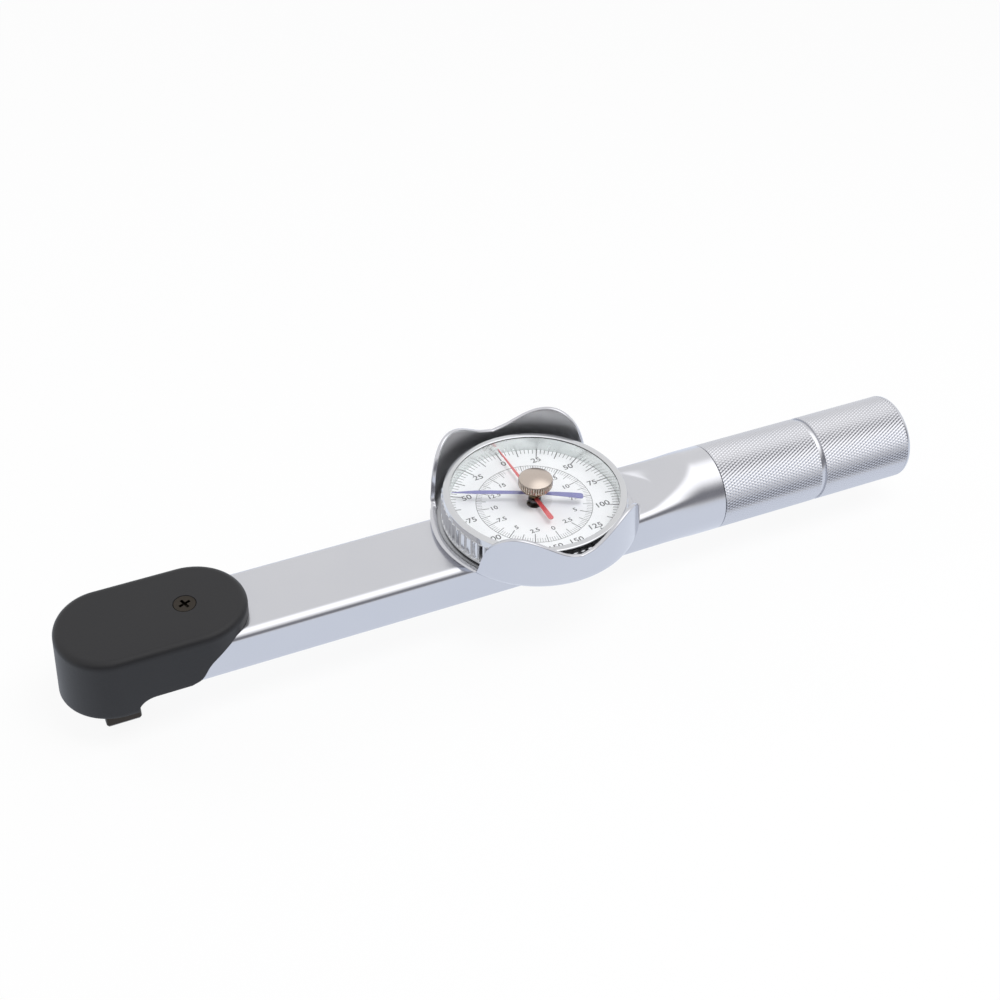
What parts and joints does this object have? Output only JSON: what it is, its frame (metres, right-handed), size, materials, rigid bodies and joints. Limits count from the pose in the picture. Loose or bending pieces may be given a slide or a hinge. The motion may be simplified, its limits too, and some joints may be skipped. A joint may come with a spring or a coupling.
{
  "type": "dial torque wrench",
  "caption": "Dial torque wrench: square drive under a black head cover, formed tube with a knurled round handle, and a two-pointer dial inside a wave-edged guard.",
  "frame": {"origin": "centre of the square drive's end face, on the drive's axis", "axes": "+X along the tube to the handle, +Z along the drive's axis to the dial side, +Y across the tube"},
  "size_m": [0.2587, 0.0596, 0.0456],
  "materials": {
    "tube_chrome": "satin",
    "guard_chrome": "polished",
    "bezel_chrome": "polished",
    "black_cover": "matte",
    "black_steel": "black oxide",
    "bright_steel": "turned",
    "spring_steel": "ground",
    "anchor_iron": "milled",
    "brass": "turned",
    "seat_aluminium": "turned",
    "gasket_rubber": "matte",
    "dial_white": "satin",
    "crystal_clear": "clear",
    "red_hand": "satin",
    "violet_hand": "satin",
    "knob_nickel": "satin nickel"
  },
  "bodies": {
    "housing": {"housing_tube": "tube_chrome", "handle_end_plug": "tube_chrome", "head_cover": "black_cover", "cover_screw": "black_steel", "cover_nut": "bright_steel", "upper_bush": "brass", "lower_bush": "brass", "torque_beam": "spring_steel", "beam_anchor": "anchor_iron", "anchor_screws": "black_steel", "stop_pins": "bright_steel", "dial_guard": "guard_chrome", "bezel_seat": "seat_aluminium", "seat_screws": "bright_steel", "movement_lower_plate": "brass", "movement_upper_plate": "brass", "movement_pillars": "brass", "movement_screws": "bright_steel", "idler_bearings": "brass", "staff_foot_bearing": "brass", "staff_bush": "brass", "bezel_gasket": "gasket_rubber", "hairspring": "spring_steel", "hairspring_stud": "bright_steel"},
    "drive": {"drive_head": "black_steel", "head_clip": "black_steel", "detent_spring": "spring_steel", "indicator_arm": "spring_steel", "arm_screws": "bright_steel", "sector_gear": "brass", "sector_rivets": "brass"},
    "detent": {"detent_ball": "bright_steel"},
    "idler": {"idler_pinion": "bright_steel", "idler_wheel": "brass"},
    "pointer": {"pointer_staff": "bright_steel", "hairspring_collet": "brass", "torque_pointer": "red_hand"},
    "bezel": {"bezel": "bezel_chrome", "snap_ring": "bright_steel", "dial_plate": "dial_white", "crystal": "crystal_clear", "crystal_bush": "brass"},
    "memory": {"memory_knob": "knob_nickel", "memory_stem": "brass", "memory_pointer": "violet_hand", "friction_washer": "spring_steel"}
  },
  "joints": [
    {"name": "drive_twist", "type": "hinge", "parent": "housing", "child": "drive", "pos_m": [0, 0, 0.021], "axis": [0, 0, 1], "range_deg": [-1.71, 1.71], "stiffness_Nm_per_rad": 570},
    {"name": "idler_spin", "type": "hinge", "parent": "housing", "child": "idler", "pos_m": [0.1104, 0, 0.021], "axis": [0, 0, 1], "range_deg": [-57.4, 57.4]},
    {"name": "pointer_spin", "type": "hinge", "parent": "housing", "child": "pointer", "pos_m": [0.122, 0, 0.021], "axis": [0, 0, 1], "range_deg": [-180.2, 180.2]},
    {"name": "bezel_turn", "type": "hinge", "parent": "housing", "child": "bezel", "pos_m": [0.122, 0, 0.021], "axis": [0, 0, 1], "continuous": true},
    {"name": "memory_turn", "type": "hinge", "parent": "bezel", "child": "memory", "pos_m": [0.122, 0, 0.021], "axis": [0, 0, 1], "continuous": true},
    {"name": "detent_press", "type": "slide", "parent": "drive", "child": "detent", "axis": [1, 0, 0], "range_m": [-0.0006, 0], "stiffness_N_per_m": 2500}
  ],
  "couplings": [
    {"joint": "idler_spin", "follows": "drive_twist", "ratio": -33.5},
    {"joint": "pointer_spin", "follows": "drive_twist", "ratio": 105.29}
  ]
}
